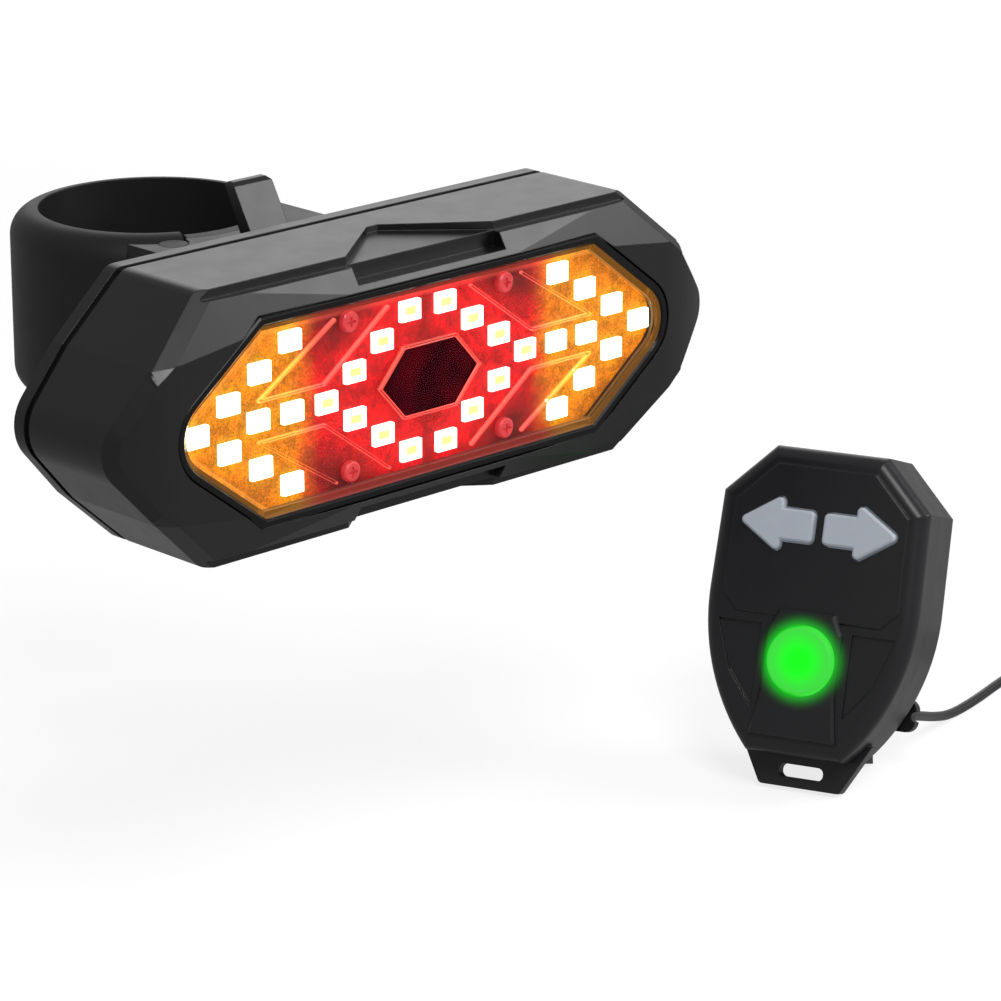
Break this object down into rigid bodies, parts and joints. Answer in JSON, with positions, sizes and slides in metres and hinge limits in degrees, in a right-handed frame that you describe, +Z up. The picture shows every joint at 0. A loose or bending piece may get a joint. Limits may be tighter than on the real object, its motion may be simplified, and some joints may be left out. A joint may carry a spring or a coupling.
{
  "type": "bicycle turn signal light",
  "caption": "Long six-sided bicycle rear lamp with red ring and amber arrow lights, strapped to a seat post, and its wireless remote with arrow keys and an elastic cord.",
  "frame": {"origin": "on the seat post's axis, at the height of the lamp's centre", "axes": "+Z up along the seat post, -Y the way the lamp shines, +X to the right of someone who looks at the lens"},
  "size_m": [0.2006, 0.0917, 0.1005],
  "materials": {
    "housing_black": "satin moulded plastic",
    "lens_clear": "smooth clear plastic",
    "window_red": "translucent red plastic",
    "rubber_black": "moulded rubber",
    "seal_grey": "soft seal",
    "key_grey": "pale translucent rubber",
    "key_lit": "translucent key over a green light",
    "board_green": "soldermask",
    "red_light": "lit light-emitting diode",
    "amber_light": "lit light-emitting diode",
    "green_light": "lit light-emitting diode",
    "screw_steel": "zinc plated",
    "battery_wrap": "foil pouch",
    "switch_black": "moulded plastic"
  },
  "bodies": {
    "lamp_and_remote": {"amber_leds_left": "amber_light", "amber_leds_right": "amber_light", "bar_saddle": "rubber_black", "battery": "battery_wrap", "battery_pad": "seal_grey", "board_carrier": "housing_black", "board_screws": "screw_steel", "bracket": "housing_black", "carrier_screws": "screw_steel", "cell_holder": "housing_black", "cell_spring": "screw_steel", "centre_window": "window_red", "coin_cell": "screw_steel", "control_board": "board_green", "control_screws": "screw_steel", "cord_toggle": "rubber_black", "cover_screws": "screw_steel", "cover_seal": "seal_grey", "front_housing": "housing_black", "key_switches": "switch_black", "led_board": "board_green", "lens": "lens_clear", "lens_gasket": "seal_grey", "lever_pin": "screw_steel", "lever_spring": "screw_steel", "mount_rail": "housing_black", "mounting_cord": "rubber_black", "post_strap": "rubber_black", "power_switch": "switch_black", "radio_module": "battery_wrap", "rail_screws": "screw_steel", "rear_cover": "housing_black", "red_leds": "red_light", "remote_back_shell": "housing_black", "remote_board": "board_green", "remote_front_shell": "housing_black", "remote_seal": "seal_grey", "saddle_pad": "rubber_black", "saddle_screws": "screw_steel", "shell_screws": "screw_steel", "status_led": "green_light", "usb_cover_pin": "screw_steel", "usb_socket": "screw_steel"},
    "release_lever": {"release_lever": "housing_black"},
    "usb_cover": {"usb_cover": "rubber_black"},
    "power_button": {"power_button": "seal_grey"},
    "left_arrow_key": {"left_arrow_key": "key_grey"},
    "right_arrow_key": {"right_arrow_key": "key_grey"},
    "round_key": {"round_key": "key_lit"},
    "battery_door": {"battery_door": "housing_black"}
  },
  "joints": [
    {"name": "lever_press", "type": "hinge", "parent": "lamp_and_remote", "child": "release_lever", "pos_m": [0, -0.0247, 0.004], "axis": [-1, 0, 0], "range_deg": [0, 8], "stiffness_Nm_per_rad": 0.3, "springref_deg": -2.86, "deforming": ["lever_spring"]},
    {"name": "usb_cover_swing", "type": "hinge", "parent": "lamp_and_remote", "child": "usb_cover", "pos_m": [-0.0294, -0.0286, 0], "axis": [0, 0, 1], "range_deg": [0, 110]},
    {"name": "power_button_press", "type": "slide", "parent": "lamp_and_remote", "child": "power_button", "axis": [0, -1, 0], "range_m": [0, 0.0006], "stiffness_N_per_m": 1500, "springref_m": -0.0003},
    {"name": "left_arrow_key_press", "type": "slide", "parent": "lamp_and_remote", "child": "left_arrow_key", "axis": [0.865, 0.3672, -0.342], "range_m": [0, 0.0004], "stiffness_N_per_m": 1500, "springref_m": -0.0003},
    {"name": "right_arrow_key_press", "type": "slide", "parent": "lamp_and_remote", "child": "right_arrow_key", "axis": [0.865, 0.3672, -0.342], "range_m": [0, 0.0004], "stiffness_N_per_m": 1500, "springref_m": -0.0003},
    {"name": "round_key_press", "type": "slide", "parent": "lamp_and_remote", "child": "round_key", "axis": [0.865, 0.3672, -0.342], "range_m": [0, 0.0004], "stiffness_N_per_m": 1500, "springref_m": -0.0003},
    {"name": "battery_door_turn", "type": "hinge", "parent": "lamp_and_remote", "child": "battery_door", "pos_m": [0.09253, -0.05041, -0.05047], "axis": [-0.865, -0.3672, 0.342], "range_deg": [0, 30]}
  ]
}
